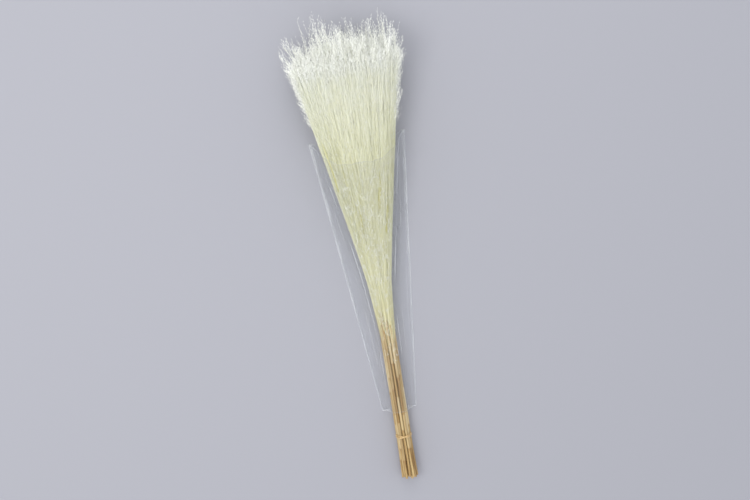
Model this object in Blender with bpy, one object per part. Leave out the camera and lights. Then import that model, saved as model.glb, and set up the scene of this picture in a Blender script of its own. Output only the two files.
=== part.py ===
# Bundle of dried silver grass, lying in its clear film sleeve.
# Units are metres and +Z is up. The bundle lies along Y on the surface z = 0,
# with its cut ends at -Y, its plumes at +Y and the origin under its middle.
# Places along the bundle are given as s, the distance from the cut ends.

import math
import random

import bpy
from mathutils import Vector

BUNDLE_LENGTH = 0.800  # cut ends to the longest plume tip
GAP = 0.0003  # left between neighbouring pieces

# The stems are packed like rods, in rows from the lowest up.
ROW_COUNTS = (3, 4, 5, 4, 3)
ROW_RISE = math.sqrt(3) / 2  # height between rows, in stem spacings
STEM_SPACING = 0.0054  # at the band
STEM_RADIUS = 0.0024
STEM_SIZE_RANGE = 0.08  # how much thinner the thinnest stem is
STEM_TAPER = 0.92  # radius under the plume, as a share of that at the cut end
LONGEST_TRIM = 0.010  # how unevenly the cut ends are trimmed

# Growth of the spacing along the bundle, as a share of the way along it
CUT_END_SPLAY = 0.040  # from the band back to the cut ends
STEM_SPLAY = 0.010  # from the band up
SPREAD_START = 0.279  # where the bundle opens into a cone
SIDE_SPREAD = 0.0770
HEIGHT_SPREAD = 0.0460

# Plumes
PLUME_START = 0.275
PLUME_START_RANGE = 0.040
PLUME_TIP_DROP = 0.024  # how much shorter the outermost plumes are
PLUME_TIP_RANGE = 0.016
TIP_NARROWING = 0.88  # share of a plume's length after which it narrows
TIP_SIZE = 0.38  # section left at the tip, as a share of the full section

# Elastic band round the stems
BAND_PLACE = 0.080
BAND_WIDTH = 0.006
BAND_THICKNESS = 0.0012

# Clear film sleeve, a tapered tube with straight cut ends
SLEEVE_START = 0.125
SLEEVE_END = 0.595
SLEEVE_HALF_WIDTHS = (0.030, 0.080)  # as it lies, at the start and at the mouth
FILM = 0.0004
FOLD_HEIGHT = 0.0022  # over both layers where they lie flat beside the bunch
HEADROOM = 0.0012  # above the topmost stems, and this share more of their height
HEADROOM_SHARE = 0.022
SIDEROOM_SHARE = 0.03  # the same beside the outermost plumes
SHOULDER = 0.52  # height where the film leaves the bunch, as a share of its height
SHOULDER_ROUNDING = 2.6  # power of the curve over the bunch, 2 being an ellipse
FLANK_HOLLOW = 2.2  # power of the curve down to the surface
LANDING = 0.040  # past the sleeve, over which the plumes sink the film's thickness

STEM_SIDES = 8
STEM_STATIONS = 10
PLUME_SIDES = 10
PLUME_STATIONS = 11
ARCH_STEPS = 26
FLOOR_STEPS = 6
SLEEVE_STATIONS = 11
CORNER_POINTS = 4

CELL_RADIUS = STEM_SPACING / 2
ROWS = len(ROW_COUNTS)
rng = random.Random(19)


def clear_scene():
    for obj in list(bpy.data.objects):
        bpy.data.objects.remove(obj, do_unlink=True)


def material(name, color, roughness, metallic=0.0, alpha=1.0):
    mat = bpy.data.materials.new(name)
    mat.use_nodes = True
    shader = mat.node_tree.nodes["Principled BSDF"]
    shader.inputs["Base Color"].default_value = (*color, 1.0)
    shader.inputs["Roughness"].default_value = roughness
    shader.inputs["Metallic"].default_value = metallic
    shader.inputs["Alpha"].default_value = alpha
    return mat


def mix(low, high, t):
    return low + (high - low) * t


def ease(value, low, high):
    # 0 below low, 1 above high and a smooth step between.
    t = min(max((value - low) / (high - low), 0.0), 1.0)
    return t * t * (3 - 2 * t)


# Layout of the bundle


def spacing(s):
    # Sideways and upright distance between neighbouring stems or plumes.
    splay = CUT_END_SPLAY * (BAND_PLACE - s) if s < BAND_PLACE else STEM_SPLAY * (s - BAND_PLACE)
    beyond = max(0.0, s - SPREAD_START)
    sideways = math.hypot(STEM_SPACING, splay, SIDE_SPREAD * beyond)
    upright = math.hypot(STEM_SPACING, splay, HEIGHT_SPREAD * beyond)
    return sideways, upright


def lift(s):
    # The bunch lies on the band, then on the film, and past the sleeve on the surface itself.
    on_band_or_film = mix(BAND_THICKNESS, FILM + GAP, ease(s, BAND_PLACE + BAND_WIDTH, PLUME_START))
    return on_band_or_film * (1 - ease(s, SLEEVE_END, SLEEVE_END + LANDING))


def centre(cell, s):
    column, row = cell
    sideways, upright = spacing(s)
    return column * sideways, lift(s) + upright * (0.5 + row * ROW_RISE)


def bunch_top(s):
    return lift(s) + spacing(s)[1] * (1 + (ROWS - 1) * ROW_RISE)


def bunch_half_width(s):
    return spacing(s)[0] * max(ROW_COUNTS) / 2


def cells():
    # One cell of the packing for each stem: its column and its row, counted from the lowest.
    for row, count in enumerate(ROW_COUNTS):
        for place in range(count):
            yield place - (count - 1) / 2, row


# Meshes made of rings


def ring_faces(count, sides, loops_back):
    # Quads from each ring to the next. The last ring meets the first, or both ends are capped.
    # On the way back a quad starts one corner on, so that both walls fold along the same diagonal.
    faces = []
    for i in range(count if loops_back else count - 1):
        here = i * sides
        after = (i + 1) % count * sides
        comes_back = loops_back and i >= count // 2
        for j in range(sides):
            k = (j + 1) % sides
            quad = (here + j, here + k, after + k, after + j)
            faces.append(quad[1:] + quad[:1] if comes_back else quad)
    if not loops_back:
        faces.append(tuple(reversed(range(sides))))
        faces.append(tuple(range((count - 1) * sides, count * sides)))
    return faces


def ring_object(name, rings, mat, loops_back=False):
    mesh = bpy.data.meshes.new(name)
    points = [point for ring in rings for point in ring]
    mesh.from_pydata(points, [], ring_faces(len(rings), len(rings[0]), loops_back))
    mesh.materials.append(mat)
    mesh.shade_smooth()
    mesh.set_sharp_from_angle(angle=math.radians(50))
    obj = bpy.data.objects.new(name, mesh)
    bpy.context.scene.collection.objects.link(obj)
    obj.parent = bundle
    return obj


def oval(middle, half_width, half_height, s, sides):
    # Turns so that the faces of a ring object point out as s grows.
    ring = []
    for i in range(sides):
        angle = -2 * math.pi * (i + 0.5) / sides
        x = middle[0] + half_width * math.cos(angle)
        z = middle[1] + half_height * math.sin(angle)
        ring.append(Vector((x, s, z)))
    return ring


# Stems and plumes


def make_stem(number, cell, top):
    # The first stem reaches the very end, and the others are trimmed a little shorter.
    cut_end = LONGEST_TRIM * rng.random() if number > 1 else 0.0
    radius = STEM_RADIUS * (1 - STEM_SIZE_RANGE * rng.random())
    rings = []
    for i in range(STEM_STATIONS):
        t = i / (STEM_STATIONS - 1)
        s = mix(cut_end, top, t)
        r = radius * mix(1.0, STEM_TAPER, t)
        rings.append(oval(centre(cell, s), r, r, s, STEM_SIDES))
    ring_object(f"stem_{number:02d}", rings, straw)
    return radius * STEM_TAPER


def plume_share(t):
    # Share of its cell that a plume fills, t running from its base to its tip.
    past = max(0.0, t - TIP_NARROWING) / (1 - TIP_NARROWING)
    return mix(1.0, TIP_SIZE, 1 - math.sqrt(1 - past * past))


def make_plume(number, cell, base, tip, base_radius):
    rings = []
    for i in range(PLUME_STATIONS):
        t = math.sin(math.pi / 2 * i / (PLUME_STATIONS - 1))
        s = mix(base, tip, t)
        sideways, upright = spacing(s)
        half_width = (sideways / 2 - GAP) * plume_share(t) if i else base_radius
        half_height = (upright / 2 - GAP) * plume_share(t) if i else base_radius
        rings.append(oval(centre(cell, s), half_width, half_height, s, PLUME_SIDES))
    ring_object(f"plume_{number:02d}", rings, plume_hair)


def make_stalks():
    outermost = (max(ROW_COUNTS) - 1) / 2
    middle_row = (ROWS - 1) / 2
    for number, cell in enumerate(cells(), start=1):
        outward = max(abs(cell[0]) / outermost, abs(cell[1] - middle_row) / middle_row)
        base = PLUME_START + PLUME_START_RANGE * rng.random()
        tip = BUNDLE_LENGTH - PLUME_TIP_DROP * outward**2
        if outward > 0:
            tip -= PLUME_TIP_RANGE * rng.random()
        base_radius = make_stem(number, cell, base - GAP)
        make_plume(number, cell, base, tip, base_radius)


# Elastic band


def band_ring(offset, s):
    # Outline of the packed stems, as six arcs round the corner stems.
    reach = (max(ROW_COUNTS) - 1) * CELL_RADIUS
    radius = CELL_RADIUS + offset
    middle = centre((0, (ROWS - 1) / 2), BAND_PLACE)[1]
    ring = []
    for corner in range(6):
        corner_angle = -math.radians(60 * corner)
        for i in range(CORNER_POINTS):
            angle = corner_angle + math.radians(30 - 60 * i / (CORNER_POINTS - 1))
            x = reach * math.cos(corner_angle) + radius * math.cos(angle)
            z = middle + reach * math.sin(corner_angle) + radius * math.sin(angle)
            ring.append(Vector((x, s, z)))
    return ring


def make_band():
    back = BAND_PLACE - BAND_WIDTH / 2
    front = BAND_PLACE + BAND_WIDTH / 2
    outside = [band_ring(BAND_THICKNESS, back), band_ring(BAND_THICKNESS, front)]
    inside = [band_ring(0.0, front), band_ring(0.0, back)]
    ring_object("tie_band", outside + inside, rubber, loops_back=True)


# Film sleeve


def film_height(x, s, half_width):
    # The upper layer hugs the bunch down to its shoulders, then sinks to the surface beside it.
    top = bunch_top(s) * (1 + HEADROOM_SHARE) + HEADROOM + FILM
    shoulder_x = bunch_half_width(s) * (1 + SIDEROOM_SHARE) + HEADROOM + FILM
    shoulder_z = top * SHOULDER
    if x < shoulder_x:
        rounding = (1 - (x / shoulder_x) ** SHOULDER_ROUNDING) ** (1 / SHOULDER_ROUNDING)
        return mix(shoulder_z, top, rounding)
    t = (x - shoulder_x) / (half_width - shoulder_x)
    return mix(FOLD_HEIGHT, shoulder_z, (1 - t) ** FLANK_HOLLOW)


def film_ring(s):
    t = (s - SLEEVE_START) / (SLEEVE_END - SLEEVE_START)
    half_width = mix(*SLEEVE_HALF_WIDTHS, t)
    ring = []
    for i in range(ARCH_STEPS + 1):
        x = -half_width * math.cos(math.pi * i / ARCH_STEPS)
        ring.append(Vector((x, s, film_height(abs(x), s, half_width))))
    for i in range(FLOOR_STEPS + 1):
        ring.append(Vector((mix(half_width, -half_width, i / FLOOR_STEPS), s, 0.0)))
    return ring


def inset(ring, distance):
    # The same outline, moved inwards by the distance.
    moved = []
    for i, point in enumerate(ring):
        along = ring[(i + 1) % len(ring)] - ring[i - 1]
        inwards = Vector((along.z, 0.0, -along.x)).normalized()
        moved.append(point + inwards * distance)
    return moved


def make_sleeve():
    steps = SLEEVE_STATIONS - 1
    outside = [film_ring(mix(SLEEVE_START, SLEEVE_END, i / steps)) for i in range(steps + 1)]
    inside = [inset(ring, FILM) for ring in reversed(outside)]
    ring_object("sleeve", outside + inside, clear_film, loops_back=True)


clear_scene()
straw = material("straw", (0.57, 0.43, 0.20), 0.55)
plume_hair = material("plume_hair", (0.80, 0.80, 0.62), 0.75)
rubber = material("rubber", (0.62, 0.47, 0.25), 0.6)
clear_film = material("clear_film", (0.92, 0.94, 0.94), 0.08, alpha=0.25)

bundle = bpy.data.objects.new("bundle", None)
bpy.context.scene.collection.objects.link(bundle)
bundle.location.y = -BUNDLE_LENGTH / 2

make_stalks()
make_band()
make_sleeve()
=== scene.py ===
import math

import bpy
import numpy as np
from mathutils import Matrix, Vector, noise


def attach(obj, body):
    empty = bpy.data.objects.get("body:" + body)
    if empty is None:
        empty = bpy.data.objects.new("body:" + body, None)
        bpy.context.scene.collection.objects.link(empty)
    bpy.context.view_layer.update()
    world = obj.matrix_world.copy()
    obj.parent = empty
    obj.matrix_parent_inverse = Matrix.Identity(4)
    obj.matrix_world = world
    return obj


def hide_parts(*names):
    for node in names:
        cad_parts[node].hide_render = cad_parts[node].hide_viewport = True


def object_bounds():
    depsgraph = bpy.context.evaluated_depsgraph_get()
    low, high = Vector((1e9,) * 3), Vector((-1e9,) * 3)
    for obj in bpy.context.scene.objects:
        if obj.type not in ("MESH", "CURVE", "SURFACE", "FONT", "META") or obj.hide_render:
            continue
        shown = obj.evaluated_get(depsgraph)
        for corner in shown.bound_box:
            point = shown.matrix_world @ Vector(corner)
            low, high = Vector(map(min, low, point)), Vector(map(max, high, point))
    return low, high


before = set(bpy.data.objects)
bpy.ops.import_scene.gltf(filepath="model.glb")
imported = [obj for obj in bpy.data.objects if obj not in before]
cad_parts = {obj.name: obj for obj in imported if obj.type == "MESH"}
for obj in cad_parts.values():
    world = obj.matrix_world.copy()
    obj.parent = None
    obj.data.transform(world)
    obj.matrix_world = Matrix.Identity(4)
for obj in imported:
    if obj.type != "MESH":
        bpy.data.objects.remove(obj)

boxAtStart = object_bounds()
bpy.ops.object.select_all(action="DESELECT")

# Places along the bundle are given as s, the distance from the cut ends.
cutEndY = boxAtStart[0].y
random = np.random.default_rng(7)


def report(text):
    print("bundle:", text)


def smoothStep(low, high, value):
    t = np.clip((value - low) / (high - low), 0.0, 1.0)
    return t * t * (3 - 2 * t)


def mix(low, high, t):
    return low + (high - low) * t


# What the frame says. Each CAD solid is a stack of flat rings, which give its middle and half sizes.


def sectionsOf(nodeName):
    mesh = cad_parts[nodeName].data
    points = np.empty(len(mesh.vertices) * 3)
    mesh.vertices.foreach_get("co", points)
    points = points.reshape(-1, 3)
    places = np.round(points[:, 1], 4)
    rows = []
    for place in np.unique(places):
        ring = points[places == place]
        low, high = ring.min(0), ring.max(0)
        rows.append([place - cutEndY, *((low + high) / 2)[[0, 2]], *((high - low) / 2)[[0, 2]]])
    return np.array(rows)


def readAt(rows, column, s):
    # Straight lines between the rings, and past the last one its slope goes on.
    slope = (rows[-1, column] - rows[-2, column]) / (rows[-1, 0] - rows[-2, 0])
    return np.interp(s, rows[:, 0], rows[:, column]) + np.maximum(s - rows[-1, 0], 0) * slope


def growthRows(rows):
    # A plume's rings up to its widest one. Past it the solid only rounds off its tip.
    return rows[: int(np.argmax(rows[:, 3])) + 1]


plumeNames = sorted(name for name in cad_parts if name.startswith("plume_"))
stemNames = sorted(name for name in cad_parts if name.startswith("stem_"))
plumeRows = {name: sectionsOf(name) for name in plumeNames}
stemRows = {name: sectionsOf(name) for name in stemNames}
plumeGrowth = {name: growthRows(rows) for name, rows in plumeRows.items()}
sleeveRows = sectionsOf("sleeve")


def bunchOutline():
    # Half the width, the underside and the top of the whole bunch, at places along it.
    lines = []
    for s in np.linspace(0.02, 0.79, 155):
        here = [rows for rows in stemRows.values() if s < rows[-1, 0]]
        here += [rows for rows in plumeGrowth.values() if s > rows[0, 0]]
        sides = [abs(readAt(rows, 1, s)) + readAt(rows, 3, s) for rows in here]
        lows = [readAt(rows, 2, s) - readAt(rows, 4, s) for rows in here]
        highs = [readAt(rows, 2, s) + readAt(rows, 4, s) for rows in here]
        lines.append([s, max(sides), min(lows), max(highs)])
    return np.array(lines)


outline = bunchOutline()
sectionPower = 2.6  # the section of the bunch, between an oval and a rounded box
tallestAt = 0.762  # from here to the tips the bunch grows wider but no taller


def sectionAt(s):
    half = np.interp(s, outline[:, 0], outline[:, 1])
    upTo = np.minimum(s, tallestAt)
    low, high = (np.interp(upTo, outline[:, 0], outline[:, column]) for column in (2, 3))
    return half, (low + high) / 2, (high - low) / 2


# Materials


def newMaterial(name, roughness):
    material = bpy.data.materials.new(name)
    material.use_nodes = True
    shader = material.node_tree.nodes["Principled BSDF"]
    shader.inputs["Roughness"].default_value = roughness
    return material, material.node_tree, shader


def addNode(tree, kind, **settings):
    node = tree.nodes.new(kind)
    for key, value in settings.items():
        setattr(node, key, value)
    return node


def colourRamp(tree, source, stops):
    ramp = addNode(tree, "ShaderNodeValToRGB")
    elements = ramp.color_ramp.elements
    elements[0].position, elements[0].color = stops[0][0], (*stops[0][1], 1)
    elements[1].position, elements[1].color = stops[-1][0], (*stops[-1][1], 1)
    for position, colour in stops[1:-1]:
        elements.new(position).color = (*colour, 1)
    tree.links.new(source, ramp.inputs["Fac"])
    return ramp.outputs["Color"]


def mixColours(tree, mode, amount, first, second):
    node = addNode(tree, "ShaderNodeMix", data_type="RGBA", blend_type=mode)
    for socket, value in ((node.inputs[0], amount), (node.inputs[6], first), (node.inputs[7], second)):
        if isinstance(value, bpy.types.NodeSocket):
            tree.links.new(value, socket)
        elif isinstance(value, tuple):
            socket.default_value = (*value, 1)
        else:
            socket.default_value = value
    return node.outputs[2]


def stretchedNoise(tree, scale, along, detail=3.0):
    # Noise drawn out along the bundle, for grain that runs the way the grass grew.
    place = addNode(tree, "ShaderNodeTexCoord")
    mapping = addNode(tree, "ShaderNodeMapping")
    mapping.inputs["Scale"].default_value = (1, along, 1)
    pattern = addNode(tree, "ShaderNodeTexNoise")
    pattern.inputs["Scale"].default_value = scale
    pattern.inputs["Detail"].default_value = detail
    tree.links.new(place.outputs["Object"], mapping.inputs["Vector"])
    tree.links.new(mapping.outputs["Vector"], pattern.inputs["Vector"])
    return pattern.outputs["Fac"]


def placeAlong(tree):
    # The distance from the cut ends, in metres.
    place = addNode(tree, "ShaderNodeTexCoord")
    split = addNode(tree, "ShaderNodeSeparateXYZ")
    shift = addNode(tree, "ShaderNodeMath", operation="SUBTRACT")
    tree.links.new(place.outputs["Object"], split.inputs[0])
    tree.links.new(split.outputs["Y"], shift.inputs[0])
    shift.inputs[1].default_value = cutEndY
    return shift.outputs[0]


def bumpFrom(tree, shader, height, strength, distance):
    bump = addNode(tree, "ShaderNodeBump")
    bump.inputs["Strength"].default_value = strength
    bump.inputs["Distance"].default_value = distance
    tree.links.new(height, bump.inputs["Height"])
    tree.links.new(bump.outputs["Normal"], shader.inputs["Normal"])


# Mesh building for what is far too fine and too many to model by hand


class Strands:
    # Collects the tubes and spikelets of one piece, with their maps.
    def __init__(self):
        self.points, self.growth = [], []
        self.faces, self.spots, self.cells = ({3: [], 4: []} for _ in range(3))
        self.size, self.tubes = 0, 0

    def addFaces(self, faces, spots, cells):
        # spots is where a face's corners lie in its cell of the map, and cells is -1 for spikelets.
        corners = faces.shape[-1]
        self.faces[corners].append(faces.reshape(-1, corners) + self.size)
        self.spots[corners].append(spots.reshape(-1, corners, 2))
        self.cells[corners].append(cells.ravel())

    def addPoints(self, points, growth):
        self.points.append(points)
        self.growth.append(growth)
        self.size += len(points)


skewAxis = np.array([0.31, 0.17, 0.935])


def across(tangent):
    side = np.cross(tangent, skewAxis)
    side /= np.linalg.norm(side, axis=-1, keepdims=True)
    return side, np.cross(side, tangent)


def addTubes(strands, paths, radii, own, alongRange=(0.0, 1.0), sides=3):
    # paths is (strands, places, 3). The last place of each is a point.
    count, places = paths.shape[:2]
    tangent = np.gradient(paths, axis=1)
    tangent /= np.linalg.norm(tangent, axis=2, keepdims=True)
    side, up = across(tangent)
    turn = random.uniform(0, 2 * math.pi, count)[:, None, None]
    angle = turn + np.arange(sides)[None, None, :] * 2 * math.pi / sides
    ring = side[:, :, None, :] * np.cos(angle)[..., None] + up[:, :, None, :] * np.sin(angle)[..., None]
    rings = paths[:, :-1, None, :] + ring[:, :-1] * radii[:, :-1, None, None]
    each = (places - 1) * sides + 1
    points = np.concatenate([rings.reshape(count, -1, 3), paths[:, -1:, :]], axis=1)
    start = (np.arange(count) * each)[:, None, None, None]
    cell = strands.tubes + np.arange(count)

    # The walls, ring by ring. A cell of the map is one tube rolled out flat.
    i = np.arange(places - 2)[None, :, None, None]
    j = np.arange(sides)[None, None, :, None]
    k = (j + 1) % sides
    here, after = i * sides, (i + 1) * sides
    quads = start + np.concatenate([here + j, after + j, after + k, here + k], axis=3)
    alongSpots = np.concatenate([i, i + 1, i + 1, i], axis=3) + 0 * quads
    aroundSpots = np.concatenate([j, j, j + 1, j + 1], axis=3) + 0 * quads
    spots = np.stack([alongSpots / (places - 1), aroundSpots / sides], axis=-1)
    strands.addFaces(quads, spots, np.broadcast_to(cell[:, None, None], quads.shape[:3]))

    # The tip's faces and the closed root
    last = (places - 2) * sides
    j, k = j[0, 0, :, 0], k[0, 0, :, 0]
    fan = np.stack([last + k, last + j, np.full(sides, each - 1)], axis=1)
    near = (places - 2) / (places - 1)
    fanSpots = np.stack([
        np.stack([np.full(sides, near), (j + 1) / sides], axis=1),
        np.stack([np.full(sides, near), j / sides], axis=1),
        np.stack([np.full(sides, 1.0), (j + 0.5) / sides], axis=1),
    ], axis=1)
    base = np.array([[0, n, n + 1] for n in range(1, sides - 1)])
    baseSpots = np.broadcast_to([[0.0, 0.2], [0.02, 0.5], [0.0, 0.8]], (sides - 2, 3, 2))
    triangles = start[:, :, 0, 0, None] + np.concatenate([fan, base])[None]
    spots = np.broadcast_to(np.concatenate([fanSpots, baseSpots]), (*triangles.shape, 2))
    strands.addFaces(triangles, spots, np.broadcast_to(cell[:, None], triangles.shape[:2]))

    along = np.concatenate([np.repeat(np.linspace(*alongRange, places)[:-1], sides), [alongRange[1]]])
    growth = np.stack([np.repeat(own, each), np.tile(along, count)], axis=1)
    strands.addPoints(points.reshape(-1, 3), growth)
    strands.tubes += count


def addSpikelets(strands, roots, directions, lengths, radii, own):
    # Slim double-ended points with four faces each.
    count = len(roots)
    directions = directions / np.linalg.norm(directions, axis=1, keepdims=True)
    side, up = across(directions)
    middle = roots + directions * (lengths * 0.42)[:, None]
    turn = random.uniform(0, 2 * math.pi, count)[:, None]
    rows = [roots]
    for angle in (turn, turn + 2.0):
        rows.append(middle + (side * np.cos(angle) + up * np.sin(angle)) * radii[:, None])
    rows.append(roots + directions * lengths[:, None])
    points = keptIn(np.stack(rows, axis=1).reshape(-1, 3))
    faces = np.array([[0, 1, 2], [3, 2, 1], [0, 3, 1], [0, 2, 3]])
    triangles = (np.arange(count) * 4)[:, None, None] + faces[None]

    # They share one strip of the map, each at its place along the bundle.
    place = np.clip((roots[:, 1] - cutEndY - 0.30) / 0.55, 0, 0.97)
    corners = np.array([[0.0, 0.15], [0.02, 0.15], [0.01, 0.85]])
    spots = place[:, None, None, None] * [1.0, 0.0] + corners[None, None]
    strands.addFaces(triangles, spots + np.zeros((count, 4, 1, 1)), np.full((count, 4), -1))
    strands.addPoints(points, np.stack([np.repeat(own, 4), np.full(count * 4, 1.0)], axis=1))


def setMap(mesh, name, spots):
    layer = mesh.uv_layers.new(name=name)
    layer.uv.foreach_set("vector", spots.astype(np.float32).ravel())


def makeMesh(name, strands, material):
    quads, triangles = np.concatenate(strands.faces[4]), np.concatenate(strands.faces[3])
    points, growth = np.concatenate(strands.points), np.concatenate(strands.growth)
    corners = np.concatenate([quads.ravel(), triangles.ravel()]).astype(np.int32)
    starts = np.concatenate([
        np.arange(len(quads)) * 4,
        len(quads) * 4 + np.arange(len(triangles)) * 3,
    ]).astype(np.int32)
    mesh = bpy.data.meshes.new(name)
    mesh.vertices.add(len(points))
    mesh.vertices.foreach_set("co", points.astype(np.float32).ravel())
    mesh.loops.add(len(corners))
    mesh.loops.foreach_set("vertex_index", corners)
    mesh.polygons.add(len(starts))
    mesh.polygons.foreach_set("loop_start", starts)
    mesh.update(calc_edges=True)
    mesh.shade_flat()
    setMap(mesh, "growth", growth[corners])

    # One cell for each tube, and a last row for the spikelets
    columns = math.ceil(math.sqrt(strands.tubes / 2))
    rows = math.ceil(strands.tubes / columns) + 1
    inCells = []
    for count in (4, 3):
        spots = np.concatenate(strands.spots[count])
        cells = np.concatenate(strands.cells[count])[:, None]
        inCell = (cells % columns + 0.03 + 0.94 * spots[..., 0]) / columns
        mapU = np.where(cells < 0, spots[..., 0], inCell)
        row = np.where(cells < 0, rows - 1, cells // columns)
        mapV = (row + 0.08 + 0.84 * spots[..., 1]) / rows
        inCells.append(np.stack([mapU, mapV], axis=-1).reshape(-1, 2))
    setMap(mesh, "OFBake", np.concatenate(inCells))
    mesh.materials.append(material)
    piece = bpy.data.objects.new(name, mesh)
    bpy.context.scene.collection.objects.link(piece)
    return piece, len(quads) * 2 + len(triangles)


def finishPiece(piece, slotName, *nodeNames):
    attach(piece, "root")
    if nodeNames:
        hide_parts(*nodeNames)


# Film sleeve: its measures come first, because the hair inside stays under it.

sleeveShape = {
    "mouth": 0.575,  # the middle of the mouth's edge
    "cornerRise": 0.034,  # how much further the edge reaches at the folds
    "thickness": 0.00012,
    "clearance": 0.0001,  # under its folds
    "shoulder": 0.52,  # height where the film leaves the bunch, as a share of its height
    "hollow": 2.2,  # power of the curve from there down to the surface
    "foldHeight": 0.0016,
    "foldRound": 0.0016,
    "sideRoom": 1.03,
    "headRoom": 0.0016,
    "wallRoom": 0.0016,  # kept free between the hair and the film over it
    "pastMouth": 0.012,  # past the mouth's edge the hair is free
    "bunchWrinkles": 0.0009,
    "flankWrinkles": 0.0024,
    "creases": (  # along each flank: place, half width, height and whiteness (the crease's own whitish scatter with a painted glint)
        (0.13, 0.030, 0.0011, 0.9),
        (0.46, 0.022, 0.0007, 0.5),
        (0.78, 0.018, 0.0005, 0.4),
    ),
    "edgeBand": 0.0010,  # width of the white edges, their own scatter with a painted glint
    "mouthFlare": 0.0022,
    "steps": {"over": 66, "flank": 50, "under": 24, "along": 124},
}


def filmSize(s):
    # Half the width as it lies, the height over the bunch, and where it leaves the bunch sideways.
    leaves = np.interp(s, outline[:, 0], outline[:, 1]) * sleeveShape["sideRoom"] + sleeveShape["headRoom"]
    return readAt(sleeveRows, 3, s), 2 * readAt(sleeveRows, 2, s), leaves


def filmOver(share, s):
    # Height over the bunch, share being 1 where the film leaves it.
    _, top, _ = filmSize(s)
    rounding = (1 - np.clip(np.abs(share), 0, 1) ** sectionPower) ** (1 / sectionPower)
    return mix(top * sleeveShape["shoulder"], top, rounding)


def roomUnderFilm(x, s):
    _, _, leaves = filmSize(s)
    height = filmOver(np.minimum(np.abs(x) / leaves, 0.97), s) - sleeveShape["wallRoom"]
    return np.where(s < sleeveShape["mouth"] + sleeveShape["pastMouth"], height, 1.0)


# Plumes

hairLook = {
    "byPlace": [  # colour by the distance from the cut ends
        (0.20, (0.84, 0.76, 0.42)),
        (0.34, (0.858, 0.846, 0.600)),
        (0.46, (0.850, 0.850, 0.625)),
        (0.60, (0.872, 0.876, 0.675)),
        (0.67, (0.926, 0.933, 0.780)),
        (0.75, (0.952, 0.966, 0.855)),
        (0.80, (0.962, 0.976, 0.890)),
    ],
    "tip": (0.972, 0.984, 0.940),
    "golden": (0.60, 0.58, 0.26),
    "streak": (0.975, 0.97, 0.93),  # what darker streaks are multiplied by
    "roughness": 0.6,
}

plumeShape = {
    "strands": (760, 400),  # of an outer and an inner plume
    "clumps": 60,
    "looseShare": 0.90,  # of the hair that grows in no clump
    "reach": 0.40,  # how far a plume's hair spreads, as a share of the bunch's half width
    "crossing": 0.30,  # how far its branches drift across each other, as such a share
    "rootSpan": (0.30, 0.40),  # the hair leaves the stalk over this length, outer and inner
    "denseEnd": 0.768,  # the hair is dense up to here
    "edgeSpread": (0.020, 0.024),  # how far its ends lie short of the edge, or past it
    "pastEdge": 0.30,  # share of them that lie past it
    "sideDrop": 0.026,  # how much sooner it ends at the bunch's sides
    "topDrop": 0.012,  # and at its top and underside
    "leaders": 0.018,  # share of the hair that stands well past the rest
    "sprays": (2, 1),  # the clumps of an outer and an inner plume that its leaders stand in
    "leaderRise": 0.060,
    "dressedFrom": 0.748,  # they bear spikelets from here on
    "longest": 0.8265,
    "forksFrom": 0.625,  # short forks curl out of the sides from here on
    "wisps": 0.05,  # share of the hair that starts lower, between the stems
    "radius": (0.00020, 0.00013),
    "stalkRadius": (0.0017, 0.0005),
    "shredShare": 0.95,  # of the outer plumes that carry a few leaf shreds
    "spikelet": (0.0046, 0.00052),  # length and radius
    "fuzz": 12,  # spikelets along each branch that shows
    "fuzzSize": (0.0052, 0.00030),
    "wander": 0.0007,
    "fineWander": 0.0005,
    "waves": ((34, 29), (75, 66), (210, 190)),  # of a clump, a branch and its curling end, per metre
    "apart": (0.065, 0.030),  # of the branches in a spray of leaders and in a clump
    "innerWithin": 0.55,  # a plume this near the middle of the bunch is an inner one
    "spikeletLean": (0.35, 0.75),
    "fuzzLean": (0.15, 0.75),
    "twigs": (0.010, 0.022),  # lengths of the leaders' forks
    "sideForks": (0.007, 0.015),
    "sideForkLean": (0.45, 0.95),
    "limits": (0.1034, 0.8330, 0.1150),  # no hair reaches further sideways, along or up
    "pressed": 0.0010,  # how much closer to the film than the branches their spikelets come
}


def hairMaterial():
    # u of the map "growth" is a number of each branch's own, and v runs from its root to its tip.
    material, tree, shader = newMaterial("bleachedHair", hairLook["roughness"])
    shader.inputs["Specular IOR Level"].default_value = 0.25
    uv = addNode(tree, "ShaderNodeUVMap", uv_map="growth")
    split = addNode(tree, "ShaderNodeSeparateXYZ")
    tree.links.new(uv.outputs["UV"], split.inputs[0])
    along = placeAlong(tree)
    byPlace = colourRamp(tree, along, hairLook["byPlace"])
    nearTip = colourRamp(tree, split.outputs["Y"], [(0.80, (0, 0, 0)), (1.0, (1, 1, 1))])
    bleached = mixColours(tree, "MIX", nearTip, byPlace, hairLook["tip"])
    streakStops = [(0.32, hairLook["streak"]), (0.6, (1, 1, 1))]
    streak = colourRamp(tree, stretchedNoise(tree, 110.0, 0.05), streakStops)
    streaked = mixColours(tree, "MULTIPLY", 1.0, bleached, streak)
    isGolden = colourRamp(tree, split.outputs["X"], [(0.038, (1, 1, 1)), (0.042, (0, 0, 0))])
    belowTips = colourRamp(tree, along, [(0.56, (1, 1, 1)), (0.68, (0, 0, 0))])
    golden = mixColours(tree, "MULTIPLY", 1.0, isGolden, belowTips)
    colour = mixColours(tree, "MIX", golden, streaked, hairLook["golden"])
    tree.links.new(colour, shader.inputs["Base Color"])
    return material


def superRadius(x, z):
    return (np.abs(x) ** sectionPower + np.abs(z) ** sectionPower) ** (1 / sectionPower)


def keptInside(x, z, edge=0.84, room=0.14):
    # Eases what lies near the outline of the bunch, or past it, back inside.
    rho = superRadius(x, z)
    eased = np.where(rho > edge, edge + room * np.tanh((rho - edge) / room), rho) / np.maximum(rho, 1e-9)
    return x * eased, z * eased


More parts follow.
